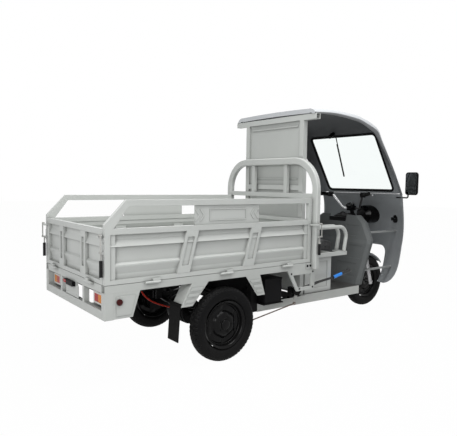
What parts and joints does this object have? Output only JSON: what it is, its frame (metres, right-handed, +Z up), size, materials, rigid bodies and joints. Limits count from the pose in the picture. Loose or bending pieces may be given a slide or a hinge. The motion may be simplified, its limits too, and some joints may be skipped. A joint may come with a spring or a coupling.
{
  "type": "cargo tricycle",
  "caption": "Three-wheeled electric cargo tricycle with a drop-side bed, guard rails, headboard hoop, half cab and bench seat.",
  "frame": {"origin": "On the ground, under the middle of the overall length and width.", "axes": "+X forward towards the front wheel, +Y to the rider's left, +Z up."},
  "size_m": [3.5315, 1.3564, 1.9529],
  "materials": {
    "light_paint": "satin warm light grey paint with worn edges",
    "bed_paint": "satin cool grey paint",
    "chassis_paint": "semi-gloss black paint",
    "cab_shell": "gloss silver grey moulding",
    "cab_inner": "grained dark grey moulding",
    "black_plastic": "fine-grained black plastic",
    "tyre_rubber": "matte black rubber",
    "wheel_paint": "satin black paint",
    "soft_rubber": "matte black rubber",
    "cable_red": "smooth red sheath",
    "glass": "clear pane",
    "lens": "clear and amber mouldings",
    "red_lens": "red and amber mouldings",
    "seat_vinyl": "black grained vinyl",
    "bare_alloy": "cast and brushed alloy",
    "bright_bar": "bright plated tube with black half",
    "zinc": "zinc-plated steel"
  },
  "bodies": {
    "chassis": {"chassis_frame": "chassis_paint", "cargo_bed": "bed_paint", "rear_lamp_frame": "bed_paint", "rear_lamp_bodies": "black_plastic", "rear_lenses": "red_lens", "side_plates": "bed_paint", "mud_flaps": "soft_rubber", "battery_box": "black_plastic", "guard_hoop": "light_paint", "cab_rear_frame": "light_paint", "cab_rear_panel": "bed_paint", "roof_panel": "cab_shell", "front_cowl": "cab_shell", "cab_lining": "cab_inner", "windscreen_glass": "glass", "windscreen_seal": "soft_rubber", "headlamp_bucket": "black_plastic", "front_lenses": "lens", "cowl_stays": "zinc", "leg_shield": "cab_inner", "dash_pod": "black_plastic", "floor_pan": "bed_paint", "seat_box": "light_paint", "seat_frame": "light_paint", "seat_cushion": "seat_vinyl", "seat_backrest": "seat_vinyl", "wiper_motor": "chassis_paint", "leaf_springs": "chassis_paint", "motor_cable": "cable_red"},
    "axle": {"rear_axle": "chassis_paint", "drive_motor": "bare_alloy"},
    "right_wheel": {"right_tyre": "tyre_rubber", "right_rim": "wheel_paint"},
    "left_wheel": {"left_tyre": "tyre_rubber", "left_rim": "wheel_paint"},
    "steering": {"fork_upper": "chassis_paint", "handlebar": "bright_bar"},
    "throttle": {"throttle_grip": "soft_rubber"},
    "right_brake": {"right_brake_lever": "bare_alloy"},
    "left_brake": {"left_brake_lever": "bare_alloy"},
    "fork": {"fork_lower": "bare_alloy", "front_fender": "cab_inner"},
    "front_wheel": {"front_tyre": "tyre_rubber", "front_rim": "wheel_paint"},
    "right_gate": {"right_gate": "light_paint"},
    "left_gate": {"left_gate": "light_paint"},
    "tailgate": {"tailgate": "light_paint"},
    "right_mirror": {"right_mirror": "black_plastic"},
    "left_mirror": {"left_mirror": "black_plastic"},
    "wiper": {"wiper_arm": "chassis_paint"},
    "parking_lever": {"parking_lever": "chassis_paint"},
    "brake_rod": {"brake_rod": "zinc"},
    "right_tail_lever": {"right_tail_latch_lever": "zinc"},
    "right_tail_hook": {"right_tail_latch_hook": "zinc"},
    "right_side_lever": {"right_side_latch_lever": "zinc"},
    "right_side_hook": {"right_side_latch_hook": "zinc"},
    "left_tail_lever": {"left_tail_latch_lever": "zinc"},
    "left_tail_hook": {"left_tail_latch_hook": "zinc"},
    "left_side_lever": {"left_side_latch_lever": "zinc"},
    "left_side_hook": {"left_side_latch_hook": "zinc"}
  },
  "joints": [
    {"name": "steering_turn", "type": "hinge", "parent": "chassis", "child": "steering", "pos_m": [1.494, 0, 0.2715], "axis": [-0.2924, 0, 0.9563], "range_deg": [-38, 38]},
    {"name": "fork_travel", "type": "slide", "parent": "steering", "child": "fork", "axis": [-0.2924, 0, 0.9563], "range_m": [-0.03, 0.045], "stiffness_N_per_m": 20600, "springref_m": -0.02},
    {"name": "front_wheel_spin", "type": "hinge", "parent": "fork", "child": "front_wheel", "pos_m": [1.494, 0, 0.2715], "axis": [0, 1, 0], "continuous": true},
    {"name": "axle_travel", "type": "slide", "parent": "chassis", "child": "axle", "axis": [0, 0, 1], "range_m": [-0.03, 0.04], "stiffness_N_per_m": 54900, "springref_m": -0.022, "deforming": ["leaf_springs", "motor_cable"]},
    {"name": "right_wheel_spin", "type": "hinge", "parent": "axle", "child": "right_wheel", "pos_m": [-0.806, -0.525, 0.2715], "axis": [0, 1, 0], "continuous": true},
    {"name": "left_wheel_spin", "type": "hinge", "parent": "axle", "child": "left_wheel", "pos_m": [-0.806, 0.525, 0.2715], "axis": [0, 1, 0], "continuous": true},
    {"name": "right_gate_drop", "type": "hinge", "parent": "chassis", "child": "right_gate", "pos_m": [-0.806, -0.572, 0.65], "axis": [1, 0, 0], "range_deg": [0, 165]},
    {"name": "left_gate_drop", "type": "hinge", "parent": "chassis", "child": "left_gate", "pos_m": [-0.806, 0.572, 0.65], "axis": [-1, 0, 0], "range_deg": [0, 165]},
    {"name": "tailgate_drop", "type": "hinge", "parent": "chassis", "child": "tailgate", "pos_m": [-1.747, 0, 0.65], "axis": [0, -1, 0], "range_deg": [0, 165]},
    {"name": "right_side_latch", "type": "hinge", "parent": "chassis", "child": "right_side_lever", "pos_m": [0.099, -0.617, 0.869], "axis": [-1, 0, 0], "range_deg": [0, 70]},
    {"name": "right_side_hook_swing", "type": "hinge", "parent": "right_side_lever", "child": "right_side_hook", "pos_m": [0.099, -0.631, 0.873], "axis": [-1, 0, 0], "range_deg": [-70, 0]},
    {"name": "right_tail_latch", "type": "hinge", "parent": "right_gate", "child": "right_tail_lever", "pos_m": [-1.744, -0.544, 0.858], "axis": [0, 1, 0], "range_deg": [0, 70]},
    {"name": "right_tail_hook_swing", "type": "hinge", "parent": "right_tail_lever", "child": "right_tail_hook", "pos_m": [-1.758, -0.544, 0.862], "axis": [0, 1, 0], "range_deg": [-70, 0]},
    {"name": "left_side_latch", "type": "hinge", "parent": "chassis", "child": "left_side_lever", "pos_m": [0.099, 0.617, 0.869], "axis": [1, 0, 0], "range_deg": [0, 70]},
    {"name": "left_side_hook_swing", "type": "hinge", "parent": "left_side_lever", "child": "left_side_hook", "pos_m": [0.099, 0.631, 0.873], "axis": [1, 0, 0], "range_deg": [-70, 0]},
    {"name": "left_tail_latch", "type": "hinge", "parent": "left_gate", "child": "left_tail_lever", "pos_m": [-1.744, 0.544, 0.858], "axis": [0, 1, 0], "range_deg": [0, 70]},
    {"name": "left_tail_hook_swing", "type": "hinge", "parent": "left_tail_lever", "child": "left_tail_hook", "pos_m": [-1.758, 0.544, 0.862], "axis": [0, 1, 0], "range_deg": [-70, 0]},
    {"name": "wiper_sweep", "type": "hinge", "parent": "chassis", "child": "wiper", "pos_m": [1.03893, 0.078, 1.82272], "axis": [0.8515, 0, 0.5243], "range_deg": [-30, 36]},
    {"name": "right_mirror_turn", "type": "hinge", "parent": "chassis", "child": "right_mirror", "pos_m": [1.39, -0.575, 1.262], "axis": [0, 0, 1], "range_deg": [-20, 20]},
    {"name": "left_mirror_turn", "type": "hinge", "parent": "chassis", "child": "left_mirror", "pos_m": [1.39, 0.575, 1.262], "axis": [0, 0, 1], "range_deg": [-20, 20]},
    {"name": "throttle_twist", "type": "hinge", "parent": "steering", "child": "throttle", "pos_m": [1.186, -0.19, 1.192], "axis": [-0.5912, -0.8003, 0.1], "range_deg": [0, 70], "stiffness_Nm_per_rad": 0.4},
    {"name": "right_brake_squeeze", "type": "hinge", "parent": "steering", "child": "right_brake", "pos_m": [1.198, -0.242, 1.2], "axis": [0, 0, -1], "range_deg": [0, 9], "stiffness_Nm_per_rad": 2},
    {"name": "left_brake_squeeze", "type": "hinge", "parent": "steering", "child": "left_brake", "pos_m": [1.198, 0.242, 1.2], "axis": [0, 0, 1], "range_deg": [0, 9], "stiffness_Nm_per_rad": 2},
    {"name": "parking_lever_pull", "type": "hinge", "parent": "chassis", "child": "parking_lever", "pos_m": [0.034, -0.443, 0.4], "axis": [0, -1, 0], "range_deg": [0, 25]},
    {"name": "brake_rod_swing", "type": "hinge", "parent": "parking_lever", "child": "brake_rod", "pos_m": [-0.004, -0.4555, 0.3], "axis": [0, -1, 0], "range_deg": [-25, 0]}
  ],
  "couplings": [
    {"joint": "right_side_hook_swing", "follows": "right_side_latch", "ratio": -1},
    {"joint": "right_tail_hook_swing", "follows": "right_tail_latch", "ratio": -1},
    {"joint": "left_side_hook_swing", "follows": "left_side_latch", "ratio": -1},
    {"joint": "left_tail_hook_swing", "follows": "left_tail_latch", "ratio": -1},
    {"joint": "brake_rod_swing", "follows": "parking_lever_pull", "ratio": -1}
  ]
}
